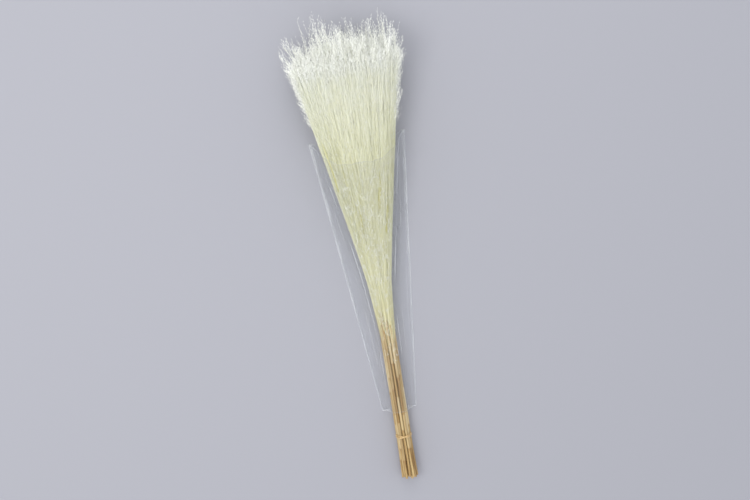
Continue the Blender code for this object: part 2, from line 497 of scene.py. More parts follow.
def keptIn(points):
    # Over the surface, under the film and within the bundle's room
    side, length, height = plumeShape["limits"]
    x = np.clip(points[..., 0], -side, side)
    y = np.minimum(points[..., 1], cutEndY + length)
    room = roomUnderFilm(x, y - cutEndY) + plumeShape["pressed"]
    z = np.clip(points[..., 2], 0.0003, np.minimum(room, height))
    return np.stack([x, y, z], axis=-1)


def plumeCentre(growth):
    half, middle, tall = sectionAt(growth[-1, 0])
    return growth[-1, 1] / half, (growth[-1, 2] - middle) / tall


def goalsOf(clumpOf, clumps, isLeader, centreX, centreZ):
    # Where in the bunch's section each branch ends up. The leaders and some others stand in clumps.
    count, reach = len(clumpOf), plumeShape["reach"]
    radius = np.sqrt(random.uniform(0, 1, clumps)) * reach
    turn = random.uniform(0, 2 * math.pi, clumps)
    loose = (random.uniform(0, 1, count) < plumeShape["looseShare"]) & ~isLeader
    ownRadius = np.sqrt(random.uniform(0, 1, count)) * reach
    ownTurn = random.uniform(0, 2 * math.pi, count)
    offX = np.where(loose, ownRadius * np.cos(ownTurn), (radius * np.cos(turn))[clumpOf])
    offZ = np.where(loose, ownRadius * np.sin(ownTurn), (radius * np.sin(turn))[clumpOf])
    apart = np.where(isLeader, *plumeShape["apart"])
    offX = offX + random.normal(0, apart)
    offZ = offZ + random.normal(0, apart)
    return keptInside(centreX + offX, centreZ + offZ)


def hairPaths(root, end, t, goals, centre, clumpOf, clumps, lean, curl):
    # t holds the shares of the way from root to end at which the path has a point.
    goalX, goalZ = goals
    s = root[:, None] + (end - root)[:, None] * t[None, :]
    gone = s - root[:, None]
    opened = 0.12 + 0.88 * smoothStep(0.0, 0.15, gone)
    half, middle, tall = sectionAt(s)
    drift = random.normal(0, plumeShape["crossing"], (2, len(root), 1)) * (1 - t)
    shareX, shareZ = keptInside(goalX[:, None] + drift[0], goalZ[:, None] + drift[1])
    x = (centre[0] + (shareX - centre[0]) * opened) * half
    z = middle + (centre[1] + (shareZ - centre[1]) * opened) * tall

    # Each clump and each branch wanders a little, and the ends bend away on their own.
    count = len(root)
    phase = random.uniform(0, 2 * math.pi, (2, clumps))
    own = random.uniform(0, 2 * math.pi, (4, count, 1))
    sway = plumeShape["wander"] * smoothStep(0, 0.3, gone)
    fine = plumeShape["fineWander"] * smoothStep(0, 0.1, gone)
    clumpWaves, branchWaves, endWaves = plumeShape["waves"]
    clumpX = phase[0, clumpOf][:, None] + s * clumpWaves[0]
    clumpZ = phase[1, clumpOf][:, None] + s * clumpWaves[1]
    x = x + sway * np.sin(clumpX) + fine * np.sin(own[0] + s * branchWaves[0])
    z = z + sway * np.cos(clumpZ) + fine * np.sin(own[1] + s * branchWaves[1])
    flare = (np.clip(t - 0.78, 0, None) / 0.22)[None, :] ** 1.7
    leanX = random.normal(0, lean, count) + 0.0025 * goalX * np.abs(goalX)
    leanZ = random.normal(0, lean, count) + 0.0015 * goalZ * np.abs(goalZ)
    x = x + flare * (leanX[:, None] + curl * np.sin(own[2] + s * endWaves[0]))
    z = z + flare * (leanZ[:, None] + curl * np.sin(own[3] + s * endWaves[1]))
    z = np.clip(z, 0.0010, roomUnderFilm(x, s))
    return keptIn(np.stack([x, s + cutEndY, z], axis=2))


def alongPath(paths, where):
    # The point and the heading at the share where of each path's places.
    scaled = np.clip(where, 0, 0.999) * (paths.shape[1] - 1)
    low = np.floor(scaled).astype(int)
    part = (scaled - low)[..., None]
    rows = np.arange(len(paths))[:, None]
    heading = paths[rows, low + 1] - paths[rows, low]
    place = paths[rows, low] + heading * part
    return place, heading / np.linalg.norm(heading, axis=-1, keepdims=True)


def shareAt(t, root, end, s):
    # Where on the paths from root to end, with points at the shares t, the place s is.
    gone = np.clip((s - root) / (end - root), 0, 1)
    return np.interp(gone, t, np.linspace(0, 1, len(t)))


def dress(strands, paths, own, where, leans, size):
    # Spikelets by turns to one side and the other, at the shares where of each path.
    count, number = where.shape
    roots, heading = alongPath(paths, where)
    turn = random.uniform(0, 2 * math.pi, (count, 1)) + np.arange(number)[None, :] * math.pi
    turn = turn + random.normal(0, 0.6, (count, number))
    sideways = np.stack([np.cos(turn), np.zeros_like(turn), np.sin(turn)], axis=2)
    direction = heading + sideways * random.uniform(*leans, (count, number))[..., None]
    length, radius = size
    addSpikelets(
        strands,
        roots.reshape(-1, 3),
        direction.reshape(-1, 3),
        (length * random.uniform(0.7, 1.3, (count, number))).ravel(),
        (radius * random.uniform(0.75, 1.2, (count, number))).ravel(),
        np.repeat(own, number),
    )


def dressEnds(strands, paths, own, first, number):
    where = np.linspace(first, 0.99, number)[None, :] + random.uniform(-0.012, 0.012, (len(paths), number))
    dress(strands, paths, own, where, plumeShape["spikeletLean"], plumeShape["spikelet"])


def addTwigs(strands, paths, own, where, sideways, lengths, leans=(0.3, 0.6)):
    # Short forks off the paths, each with spikelets of its own.
    if not len(paths):
        return
    perPath = where.shape[1]
    roots, heading = alongPath(paths, where)
    direction = heading + sideways * random.uniform(*leans, where.shape)[..., None]
    length = random.uniform(*lengths, where.shape)[..., None]
    bend = heading * 0.35 - sideways * 0.10
    t = np.linspace(0, 1, 4)[None, :, None]
    perTwig = (roots, direction, bend, length)
    roots, direction, bend, length = (values.reshape(-1, 1, values.shape[-1]) for values in perTwig)
    twigs = keptIn(roots + (direction * t + bend * t**2) * length)
    own = np.repeat(own, perPath)
    radii = np.linspace(0.00014, 0.00009, 4)[None, :] * np.ones((len(twigs), 1))
    addTubes(strands, twigs, radii, own, alongRange=(0.85, 1.0))
    dressEnds(strands, twigs, own, 0.40, 4)


def anySide(shape):
    turn = random.uniform(0, 2 * math.pi, shape)
    return np.stack([np.cos(turn), np.zeros_like(turn), np.sin(turn)], axis=2)


def outwards(goalX, shape):
    # Away from the bunch at its left and right outline, by turns a little up and down.
    rise = random.normal(0, 0.45, shape)
    side = np.sign(goalX)[:, None] * np.ones(shape)
    return np.stack([side, np.zeros(shape), rise], axis=2)


shredShape = {
    "number": (7, 12),
    "start": (0.36, 0.56),
    "length": (0.04, 0.10),
    "radius": (0.00030, 0.00050),
    "profile": (0.5, 1, 1, 1, 0.8, 0.6, 0.4),  # the radius along a shred
}


def addLeafShreds(strands, centre):
    # Narrow golden shreds of dry leaf that show between the hair near the outside.
    profile = np.array([shredShape["profile"]])
    t = np.linspace(0, 1, profile.size)[None, :]
    turn = math.atan2(centre[1], centre[0]) + random.normal(0, 0.30)
    count = int(random.integers(*shredShape["number"]))
    start = random.uniform(*shredShape["start"]) + random.uniform(0, 0.02, (count, 1))
    length = random.uniform(*shredShape["length"]) * random.uniform(0.7, 1.0, (count, 1))
    turns = turn + random.normal(0, 0.022, (count, 1)) + 0.03 * np.sin(t * 5 + turn)
    goalX, goalZ = np.cos(turns), np.sin(turns)
    fit = 0.985 / superRadius(goalX, goalZ)
    s = start + length * t
    half, middle, tall = sectionAt(s)
    x, z = goalX * fit * half, middle + goalZ * fit * tall
    paths = np.stack([x, s + cutEndY, np.clip(z, 0.0010, roomUnderFilm(x, s) + 0.0006)], axis=2)
    radii = random.uniform(*shredShape["radius"], (count, 1)) * profile
    addTubes(strands, paths, radii, np.full(count, 0.02))


def makePlume(nodeName, material):
    shape = plumeShape
    rows, growth = plumeRows[nodeName], plumeGrowth[nodeName]
    centre = plumeCentre(growth)
    inner = int(superRadius(*centre) < shape["innerWithin"])
    count, clumps = shape["strands"][inner], shape["clumps"]
    isLeader = random.uniform(0, 1, count) < shape["leaders"]
    sprayOf = random.integers(0, shape["sprays"][inner], count)
    clumpOf = np.where(isLeader, sprayOf, random.integers(0, clumps, count))
    goalX, goalZ = goalsOf(clumpOf, clumps, isLeader, *centre)
    root = rows[0, 0] + 0.004 + shape["rootSpan"][inner] * random.beta(0.85, 1.5, count)
    isWisp = random.uniform(0, 1, count) < shape["wisps"]
    root = np.where(isWisp, rows[0, 0] - random.uniform(0, 0.07, count), root)

    # Most branches end just short of the dense mass's edge, and the leaders stand past it.
    vigour = random.beta(1.3, 1.6, clumps)
    edge = (
        shape["denseEnd"]
        + (rows[-1, 0] - 0.785) * 0.55
        - shape["sideDrop"] * np.abs(goalX) ** 3.0
        - shape["topDrop"] * np.abs(goalZ) ** 2.4
        + (0.009 * (vigour - 0.5))[clumpOf]
    )
    short, past = (spread * random.beta(0.9, 2.6, count) for spread in shape["edgeSpread"])
    offset = np.where(random.uniform(0, 1, count) < shape["pastEdge"], past, -short)
    plumeVigour = random.uniform(0.7, 1.3)
    sprayVigour = plumeVigour * (0.35 + 0.65 * vigour[clumpOf])
    rise = 0.006 + shape["leaderRise"] * sprayVigour * random.beta(1.6, 1.3, count)
    lack = shape["longest"] - (edge + np.where(isLeader, rise, offset))
    end = shape["longest"] - 0.006 * np.log1p(np.exp(lack / 0.006))
    thickness = random.uniform(0.8, 1.25, count)[:, None]
    own = random.uniform(0.00, 1, count)
    strands = Strands()

    shares = {False: 1 - (1 - np.linspace(0, 1, 7)) ** 1.45, True: 1 - (1 - np.linspace(0, 1, 11)) ** 1.8}
    for leading, t in shares.items():
        chosen = isLeader == leading
        goals = (goalX[chosen], goalZ[chosen])
        lean, curl = (0.0055, 0.0015) if leading else (0.0026, 0.0)
        paths = hairPaths(root[chosen], end[chosen], t, goals, centre, clumpOf[chosen], clumps, lean, curl)
        radii = thickness[chosen] * np.linspace(*shape["radius"], len(t))[None, :]
        addTubes(strands, paths, radii, own[chosen])
        number = len(paths)
        low, high = root[chosen][:, None], end[chosen][:, None]
        if leading:
            where = shareAt(t, low, high, mix(shape["dressedFrom"], high, np.linspace(0, 0.97, 13)))
            dress(strands, paths, own[chosen], where, shape["spikeletLean"], shape["spikelet"])
            forked = random.uniform(0, 1, number) < 0.6
            forks = mix(shape["dressedFrom"], high, random.uniform(0, 0.8, (number, 2)))
            where = shareAt(t, low, high, forks)[forked]
            sides = anySide(where.shape)
            addTwigs(strands, paths[forked], own[chosen][forked], where, sides, shape["twigs"])
            continue

        # Along the sides the ends and short forks curl out of the mass.
        atSide = (np.abs(goals[0]) > 0.88) & (random.uniform(0, 1, number) < 0.30)
        forks = mix(shape["forksFrom"], high - 0.004, random.beta(1.5, 1.0, (number, 2)))
        where = shareAt(t, low, high, forks)[atSide]
        sides = outwards(goals[0][atSide], where.shape)
        leans = shape["sideForkLean"]
        addTwigs(strands, paths[atSide], own[chosen][atSide], where, sides, shape["sideForks"], leans)
        dressed = atSide | (random.uniform(0, 1, number) < 0.40)
        dressEnds(strands, paths[dressed], own[chosen][dressed], 0.90, 5)

        # Fuzz in every direction on the branches that show, all but the underside's
        shown = (superRadius(*goals) > 0.70) & (goals[1] > -0.6)
        where = random.uniform(0.15, 0.97, (int(shown.sum()), shape["fuzz"]))
        dress(strands, paths[shown], own[chosen][shown], where, shape["fuzzLean"], shape["fuzzSize"])

    onFace = not inner and abs(centre[0]) < 0.7
    if onFace and random.uniform(0, 1) < shape["shredShare"]:
        addLeafShreds(strands, centre)

    # The stalk goes on through the hair.
    reach = np.linspace(rows[0, 0], mix(rows[0, 0], rows[-1, 0], 0.72), 12)
    stalk = np.stack([readAt(growth, 1, reach), reach + cutEndY, readAt(growth, 2, reach)], axis=1)[None]
    addTubes(strands, stalk, np.linspace(*shape["stalkRadius"], 12)[None], np.array([0.5]), (0.0, 0.7), 6)
    piece, faces = makeMesh(nodeName.replace("plume", "plumeHair"), strands, material)
    finishPiece(piece, "plume_hair", nodeName)
    return faces


hair = hairMaterial()
faces = sum(makePlume(name, hair) for name in plumeNames)
report(f"plumes, {faces} triangles")


# Loose fluff, shed by the plumes and held by the film

fluffShape = {
    "curls": 380,
    "span": (0.18, sleeveShape["mouth"] - 0.008),
    "size": (0.0016, 0.0034),
    "radius": 0.00024,
}


def makeFluff():
    count, places = fluffShape["curls"], 7
    s = mix(*fluffShape["span"], random.beta(2.2, 1.2, count))
    half, _, _ = sectionAt(s)
    x = random.uniform(-0.86, 0.86, count) * half
    size = random.uniform(*fluffShape["size"], count)[:, None]
    turn = random.uniform(0, 2 * math.pi, count)[:, None]
    bend = turn + np.linspace(0, 1, places)[None, :] * random.uniform(3.0, 6.5, count)[:, None]
    radius = size * np.linspace(0.55, 1.0, places)[None, :]
    stretch = random.uniform(0.9, 2.0, count)[:, None]
    curlX = x[:, None] + radius * np.cos(bend)
    curlS = s[:, None] + radius * np.sin(bend) * stretch
    height = roomUnderFilm(curlX, curlS) + 0.0003 + 0.0002 * np.sin(bend * 1.7)
    paths = np.stack([curlX, curlS + cutEndY, height], axis=2)
    radii = fluffShape["radius"] * np.linspace(1.0, 0.6, places)[None, :] * np.ones((count, 1))
    strands = Strands()
    own = random.uniform(0.08, 1, count)
    addTubes(strands, paths, radii, own, alongRange=(0.9, 1.0))
    dressed = random.uniform(0, 1, count) < 0.6
    dressEnds(strands, paths[dressed], own[dressed], 0.15, 3)
    piece, _ = makeMesh("looseFluff", strands, hair)
    finishPiece(piece, "plume_hair")


makeFluff()
report("loose fluff")


# Small helpers for pieces modelled with the operators


def selectOnly(piece):
    bpy.ops.object.select_all(action="DESELECT")
    piece.select_set(True)
    bpy.context.view_layer.objects.active = piece


def pointsOf(mesh):
    points = np.empty(len(mesh.vertices) * 3)
    mesh.vertices.foreach_get("co", points)
    return points.reshape(-1, 3)


def placePoints(piece, points):
    piece.data.vertices.foreach_set("co", points.astype(np.float32).ravel())
    piece.data.update()


def applyModifier(piece, kind, **settings):
    selectOnly(piece)
    modifier = piece.modifiers.new(kind.title(), kind)
    for key, value in settings.items():
        setattr(modifier, key, value)
    bpy.ops.object.modifier_apply(modifier=modifier.name)


# Film sleeve

filmLook = {
    "tint": (0.996, 0.997, 0.998),
    # Darker over the hair: painted shade on the hair seen through the film.
    "tintWithPaintedShadeOverHair": (0.978, 0.978, 0.979),
    "shine": (0.93, 0.95, 0.97),
    "roughness": (0.12, 0.60),  # where it is clear, and where creases and edges are white with their own scatter and a painted glint
    "metallic": (0.9, 0.0),
    "faceOn": 0.018,  # how much each face of the film mirrors, seen straight and along its surface
    "edgeOn": 0.34,
    "edgeScatterAndGlint": 0.30,  # of its cut edges and folds, their own scatter with a painted glint
}


def filmMaterial():
    material, tree, shader = newMaterial("clearFilm", filmLook["roughness"][0])
    shader.inputs["Base Color"].default_value = (*filmLook["shine"], 1)
    # Creases and edges turn white and rough: partly the film's own scatter, partly a painted glint that
    # stays bright from any side.
    edges = addNode(tree, "ShaderNodeAttribute", attribute_name="whiteScatterAndGlint")
    for name, ends in (("Roughness", filmLook["roughness"]), ("Metallic", filmLook["metallic"])):
        low, high = ends
        value = colourRamp(tree, edges.outputs["Fac"], [(0, (low,) * 3), (1, (high,) * 3)])
        tree.links.new(value, shader.inputs[name])
    bumpFrom(tree, shader, stretchedNoise(tree, 70.0, 0.35, 4.0), 0.5, 0.0006)
    clear = addNode(tree, "ShaderNodeBsdfTransparent")
    # The tint is darker where the film lies over the hair, painting shade there.
    overHair = addNode(tree, "ShaderNodeAttribute", attribute_name="overHair")
    tint = colourRamp(tree, overHair.outputs["Fac"], [(0, filmLook["tint"]), (1, filmLook["tintWithPaintedShadeOverHair"])])
    tree.links.new(tint, clear.inputs["Color"])
    facing = addNode(tree, "ShaderNodeLayerWeight")
    facing.inputs["Blend"].default_value = 0.5
    steep = addNode(tree, "ShaderNodeMath", operation="POWER")
    steep.inputs[1].default_value = 3.0
    tree.links.new(facing.outputs["Facing"], steep.inputs[0])
    amount = addNode(tree, "ShaderNodeMath", operation="MULTIPLY_ADD")
    amount.inputs[1].default_value = filmLook["edgeOn"] - filmLook["faceOn"]
    amount.inputs[2].default_value = filmLook["faceOn"]
    tree.links.new(steep.outputs[0], amount.inputs[0])
    total = addNode(tree, "ShaderNodeMath", operation="MULTIPLY_ADD")
    total.inputs[1].default_value = filmLook["edgeScatterAndGlint"]
    tree.links.new(edges.outputs["Fac"], total.inputs[0])
    tree.links.new(amount.outputs[0], total.inputs[2])
    blend = addNode(tree, "ShaderNodeMixShader")
    tree.links.new(total.outputs[0], blend.inputs["Fac"])
    tree.links.new(clear.outputs[0], blend.inputs[1])
    tree.links.new(shader.outputs[0], blend.inputs[2])
    tree.links.new(blend.outputs[0], tree.nodes["Material Output"].inputs["Surface"])
    return material


def crowdedShares(count, crowds):
    # Shares from 0 to 1 that lie closer together round each place given as (place, width, amount).
    t = np.linspace(0, 1, 400)
    crowd = 1 + sum(amount * np.exp(-(((t - place) / width) ** 2)) for place, width, amount in crowds)
    total = np.concatenate([[0], np.cumsum((crowd[1:] + crowd[:-1]) / 2)])
    return np.interp(np.linspace(0, total[-1], count + 1), total, t)


def wrinkleNoise(a, b, seed):
    values = [noise.noise(Vector((u, v, seed))) for u, v in zip(a.ravel(), b.ravel())]
    return np.array(values).reshape(a.shape)


def mouthAt(share, under):
    # Where along the bundle the film ends, share running from 0 in the middle to 1 at the folds.
    shape = sleeveShape
    waves = 0.0016 * np.sin(share * 9.0 + 1.0) + 0.0010 * np.sin(share * 23.0)
    return shape["mouth"] + (0.004 if under else 0.0) + shape["cornerRise"] * np.abs(share) ** 2.4 + waves


def nearness(distance, width):
    return np.exp(-((distance / width) ** 2))


def filmStretch(part, share, along):
    # One stretch of the film's section, from the start to the mouth: x, s, height and how white it is,
    # which is partly a painted glint.
    shape = sleeveShape
    start = sleeveRows[0, 0]
    roughly = mix(start, shape["mouth"], along)
    halfWidth, _, leaves = filmSize(roughly)
    sideShare = {
        "over": share * leaves / halfWidth,
        "flank": mix(leaves / halfWidth, 1, np.abs(share)),
        "under": share,
    }
    mouth = mouthAt(np.abs(sideShare[part]), part == "under")
    s = mix(start, mouth, along)
    halfWidth, top, leaves = filmSize(s)
    nearMouth = smoothStep(0.93, 1.0, along)
    # The cut edges get a white line: partly scatter, partly a painted glint.
    edgeWhite = 0.45 if part == "over" else 0.9
    white = nearness(np.minimum(mouth - s, s - start), shape["edgeBand"]) * edgeWhite
    if part == "under":
        lift = 0.0003 + 0.0003 * (1 + wrinkleNoise(share * 6, s * 9, 4.0)) * (1 - np.abs(share) ** 8)
        return halfWidth * share, s, lift, white
    if part == "over":
        soft = wrinkleNoise(share * 5.0, s * 7.0, 1.0)
        crisp = 1 - np.abs(wrinkleNoise(share * 9.0 + s * 4, s * 5.0, 2.0)) * 2
        dent = shape["bunchWrinkles"] * (0.5 + 0.5 * soft + 0.4 * np.clip(crisp, 0, 1) ** 6)
        dent = dent * (1 - nearMouth) - shape["mouthFlare"] * nearMouth * (0.5 + soft)
        return leaves * share, s, filmOver(share, s) - dent * (1 - np.abs(share) ** 6), white
    t, side = np.abs(share), float(np.sign(share.flat[-1]))
    height = mix(shape["foldHeight"], top * shape["shoulder"], (1 - t) ** shape["hollow"])
    free = 4 * t * (1 - t)
    soft = wrinkleNoise(t * 3.2 + s * 11, s * 16, 3.0 + side)
    crisp = np.clip(1 - np.abs(wrinkleNoise(t * 4.0 - s * 6, s * 12, 6.0 + side)) * 3, 0, 1) ** 3
    height = height + shape["flankWrinkles"] * free * (0.8 * soft + 0.5 * crisp) * (1 + nearMouth)
    for place, width, rise, creaseScatterAndGlint in shape["creases"]:
        wavy = place + 0.02 * np.sin(s * 31 + place * 40 + side)
        comesAndGoes = wrinkleNoise(s * 14, 0 * s + place * 9, 8.0 + side)
        strength = mix(0.25, 1, smoothStep(-0.25, 0.25, comesAndGoes))
        height = height + rise * nearness(t - wavy, width) * (0.4 + 0.6 * strength)
        white = np.maximum(white, creaseScatterAndGlint * strength * nearness(t - wavy, width * 0.7))
    x = mix(leaves, halfWidth, t)
    fromFold = np.clip((x - (halfWidth - shape["foldRound"])) / shape["foldRound"], 0, 1)
    height = np.maximum(height, 0.0009) * np.sqrt(1 - fromFold**2)
    # Along the folds a white line comes and goes: the fold's own scatter with a painted glint.
    foldScatterAndGlint = 0.55 + 0.45 * smoothStep(-0.3, 0.3, wrinkleNoise(s * 23, 0 * s + side, 11.0))
    white = np.maximum(white, foldScatterAndGlint * nearness(halfWidth - x, shape["edgeBand"]))
    return np.sign(share) * x, s, height, white


def makeSleeve():
    steps = sleeveShape["steps"]
    angles = mix(-math.pi / 2, math.pi / 2, crowdedShares(steps["over"], [(0, 0.05, 1.5), (1, 0.05, 1.5)]))
    over = np.sin(angles)
    crowds = [(place, width * 1.8, 5) for place, width, _, _ in sleeveShape["creases"]]
    flank = crowdedShares(steps["flank"], [*crowds, (1, 0.05, 5)])
    under = np.linspace(1, -1, steps["under"] + 1)
    stretches = [("flank", -flank[:0:-1]), ("over", over), ("flank", flank[1:]), ("under", under[1:])]
    around = sum(len(shares) for _, shares in stretches) - 1
    bpy.ops.mesh.primitive_grid_add(x_subdivisions=around, y_subdivisions=steps["along"], size=1)
    film = bpy.context.object
    film.name = "filmSleeve"
    alongs = crowdedShares(steps["along"], [(0, 0.006, 9), (1, 0.006, 9)])[:, None]
    columns = []
    for part, shares in stretches:
        values = filmStretch(part, shares[None, :] + 0 * alongs, alongs + 0 * shares[None, :])
        # The last column marks the film over the hair, where its tint adds painted shade.
        columns.append(np.stack([*values, np.full(values[0].shape, float(part == "over"))], axis=2))
    surface = np.concatenate(columns, axis=1)
    surface[:, -1] = surface[:, 0]  # the seam lies along the left fold
    surface[..., :3] += [0, cutEndY, sleeveShape["clearance"]]
    spots = np.round((pointsOf(film.data)[:, :2] + 0.5) * [around, steps["along"]]).astype(int)
    surface = surface[spots[:, 1], spots[:, 0]]
    placePoints(film, surface[:, :3])
    # The first of these holds the white of edges and creases, partly a painted glint.
    for name, column in (("whiteScatterAndGlint", 3), ("overHair", 4)):
        attribute = film.data.attributes.new(name, "FLOAT", "POINT")
        attribute.data.foreach_set("value", surface[:, column].astype(np.float32))

    # Close the seam, turn the faces out and give the film its thickness.
    selectOnly(film)
    bpy.ops.object.mode_set(mode="EDIT")
    bpy.ops.mesh.select_all(action="SELECT")
    bpy.ops.mesh.remove_doubles(threshold=0.00001)
    bpy.ops.object.mode_set(mode="OBJECT")
    upper = max(film.data.polygons, key=lambda face: face.center.z)
    if upper.normal.z < 0:
        bpy.ops.object.mode_set(mode="EDIT")
        bpy.ops.mesh.flip_normals()
        bpy.ops.object.mode_set(mode="OBJECT")
    applyModifier(film, "SOLIDIFY", thickness=sleeveShape["thickness"], offset=-1)
    bpy.ops.object.shade_smooth_by_angle(angle=math.radians(40))
    film.data.materials.append(filmMaterial())
    finishPiece(film, "clear_film", "sleeve")
    return film


film = makeSleeve()
report("film sleeve")


# Stems

stemLook = {
    "stem": ((0.27, 0.15, 0.05), (0.49, 0.33, 0.135), (0.63, 0.475, 0.235)),
    "sheath": ((0.40, 0.27, 0.12), (0.60, 0.46, 0.24), (0.73, 0.61, 0.38)),
    "joint": (0.36, 0.21, 0.08),
    "fibre": (0.86, 0.82, 0.72),  # what the dark fibres are multiplied by
    "pith": ((0.70, 0.60, 0.40), (0.86, 0.80, 0.62)),
}

stemShape = {
    "sides": 14,
    "length": 0.315,
    "ringEvery": 0.012,
    "joints": ((0.058, 0.205), (0.034, 0.168), (0.096, 0.236)),  # of each of three kinds of stem
    "jointSize": 1.17,
    "sheathLengths": (0.072, 0.105),
    "sheathSize": 1.11,
    "ridge": 0.06,  # how far the sheath's overlapped edge stands out
    "pithShare": 0.42,
    "slant": 0.35,  # how slanted the cut ends are
}


def strawMaterial(name, colours):
    dark, middle, light = colours
    material, tree, shader = newMaterial(name, 0.48)
    fibreStops = [(0.30, stemLook["fibre"]), (0.62, (1, 1, 1))]
    fibre = colourRamp(tree, stretchedNoise(tree, 900.0, 0.02, 2.0), fibreStops)
    broadStops = [(0.33, dark), (0.5, middle), (0.66, light)]
    broad = colourRamp(tree, stretchedNoise(tree, 130.0, 0.06, 4.0), broadStops)
    colour = mixColours(tree, "MULTIPLY", 1.0, broad, fibre)
    joint = addNode(tree, "ShaderNodeAttribute", attribute_name="nearJoint")
    colour = mixColours(tree, "MIX", joint.outputs["Fac"], colour, stemLook["joint"])
    tree.links.new(colour, shader.inputs["Base Color"])
    rough = colourRamp(tree, stretchedNoise(tree, 300.0, 0.05), [(0.3, (0.36,) * 3), (0.7, (0.62,) * 3)])
    tree.links.new(rough, shader.inputs["Roughness"])
    bumpFrom(tree, shader, stretchedNoise(tree, 1100.0, 0.015, 2.0), 0.35, 0.0003)
    return material


def pithMaterial():
    material, tree, shader = newMaterial("paleStemPith", 0.9)
    dark, light = stemLook["pith"]
    colour = colourRamp(tree, stretchedNoise(tree, 1500.0, 1.0), [(0.35, dark), (0.6, light)])
    tree.links.new(colour, shader.inputs["Base Color"])
    bumpFrom(tree, shader, stretchedNoise(tree, 2500.0, 1.0), 0.6, 0.0003)
    return material


def stemProfile(joints):
    # Places along a stem and the size there, 1 being the plain stem. Sheaths start at the joints.
    shape = stemShape
    stops = [(0.0, 0.94), (0.0006, 1.0)]
    sheaths = []
    for joint, sheathLength in zip(joints, shape["sheathLengths"]):
        until = joint + sheathLength
        sheaths.append((joint + 0.0012, until))
        size, sheath = shape["jointSize"], shape["sheathSize"]
        stops += [(joint - 0.007, 1.0), (joint - 0.0022, 1.05)]
        stops += [(joint - 0.0006, size), (joint + 0.0006, size)]
        stops += [(joint + 0.0012, 1.03), (joint + 0.0022, sheath + 0.03), (joint + 0.006, sheath)]
        stops += [(until - 0.0003, sheath - 0.02), (until, 1.0)]
    stops.append((shape["length"], 0.97))
    filled = [stops[0]]
    for place, size in stops[1:]:
        pieces = math.ceil((place - filled[-1][0]) / shape["ringEvery"])
        before = filled[-1]
        for i in range(1, pieces + 1):
            filled.append((mix(before[0], place, i / pieces), mix(before[1], size, i / pieces)))
    return filled, sheaths


def modelStem(kind, materials):
    # One straight stem of radius 1, drawn out ring by ring from its cut end.
    shape = stemShape
    joints = shape["joints"][kind]
    profile, sheaths = stemProfile(joints)
    bpy.ops.object.select_all(action="DESELECT")
    bpy.ops.mesh.primitive_circle_add(
        vertices=shape["sides"], radius=profile[0][1], fill_type="NGON", rotation=(math.pi / 2, 0, 0)
    )
    bpy.ops.object.transform_apply(location=True, rotation=True, scale=True)
    stem = bpy.context.object
    bpy.ops.object.mode_set(mode="EDIT")
    bpy.ops.mesh.select_all(action="SELECT")
    for (place, size), (nextPlace, nextSize) in zip(profile, profile[1:]):
        bpy.ops.mesh.extrude_region_move(TRANSFORM_OT_translate={"value": (0, nextPlace - place, 0)})
        change = nextSize / size
        bpy.ops.transform.resize(value=(change, 1, change), center_override=(0, nextPlace, 0))
    bpy.ops.object.mode_set(mode="OBJECT")

    # The cut end is inset, and its pith lies a little deeper.
    for face in stem.data.polygons:
        face.select = face.center.y < 1e-6 and len(face.vertices) == shape["sides"]
    bpy.ops.object.mode_set(mode="EDIT")
    bpy.ops.mesh.select_mode(type="FACE")
    bpy.ops.mesh.inset(thickness=shape["pithShare"] * 0.5)
    bpy.ops.mesh.extrude_region_move(TRANSFORM_OT_translate={"value": (0, 0.0004, 0)})
    bpy.ops.mesh.select_all(action="SELECT")
    bpy.ops.mesh.normals_make_consistent(inside=False)
    bpy.ops.object.mode_set(mode="OBJECT")
    mesh = stem.data
    for material in materials:
        mesh.materials.append(material)
    for face in mesh.polygons:
        y = face.center.y
        isPith = abs(y - 0.0004) < 1e-5 and len(face.vertices) == shape["sides"]
        isSheath = any(low < y < high for low, high in sheaths)
        face.material_index = 2 if isPith else int(isSheath)

    # The overlapped edge of each sheath stands out as a fine ridge, which winds round a little.
    points = pointsOf(mesh)
    angle = np.arctan2(points[:, 2], points[:, 0])
    for low, high in sheaths:
        inSheath = (points[:, 1] > low) & (points[:, 1] < high)
        ridgeAt = 1.2 + (points[:, 1] - low) * 3.0
        away = np.abs((angle - ridgeAt + math.pi) % (2 * math.pi) - math.pi)
        grow = 1 + shape["ridge"] * np.exp(-((away / 0.22) ** 2)) * inSheath
        points[:, 0] *= grow
        points[:, 2] *= grow
    placePoints(stem, points)
    near = sum(np.exp(-(((points[:, 1] - joint) / 0.0022) ** 2)) for joint in joints)
    near = near * 0.75 + 0.5 * np.exp(-((points[:, 1] / 0.0008) ** 2))
    mesh.attributes.new("nearJoint", "FLOAT", "POINT").data.foreach_set("value", near.astype(np.float32))
    mesh.shade_smooth()
    mesh.set_sharp_from_angle(angle=math.radians(38))
    return stem


def layStem(nodeName, pattern):
    # A copy of the pattern, turned, bent to the stem's own line and given its radius.
    rows = stemRows[nodeName]
    stem = pattern.copy()
    stem.data = pattern.data.copy()
    stem.name = nodeName.replace("stem", "strawStem")
    stem.data.name = stem.name
    bpy.context.scene.collection.objects.link(stem)
    points = pointsOf(stem.data)
    turn, slantTurn = random.uniform(0, 2 * math.pi, 2)
    x = points[:, 0] * math.cos(turn) - points[:, 2] * math.sin(turn)
    z = points[:, 0] * math.sin(turn) + points[:, 2] * math.cos(turn)
    top = rows[-1, 0] + 0.004
    s = mix(rows[0, 0], top, points[:, 1] / stemShape["length"])
    radius = readAt(rows, 3, s) / 1.04
    slant = stemShape["slant"] * (x * math.cos(slantTurn) + z * math.sin(slantTurn) + 1) * radius
    s = s + slant * (points[:, 1] < 0.002)
    middleX, middleZ = readAt(rows, 1, s), readAt(rows, 2, s)
    placePoints(stem, np.stack([middleX + x * radius, s + cutEndY, middleZ + z * radius], axis=1))
    finishPiece(stem, "straw", nodeName)


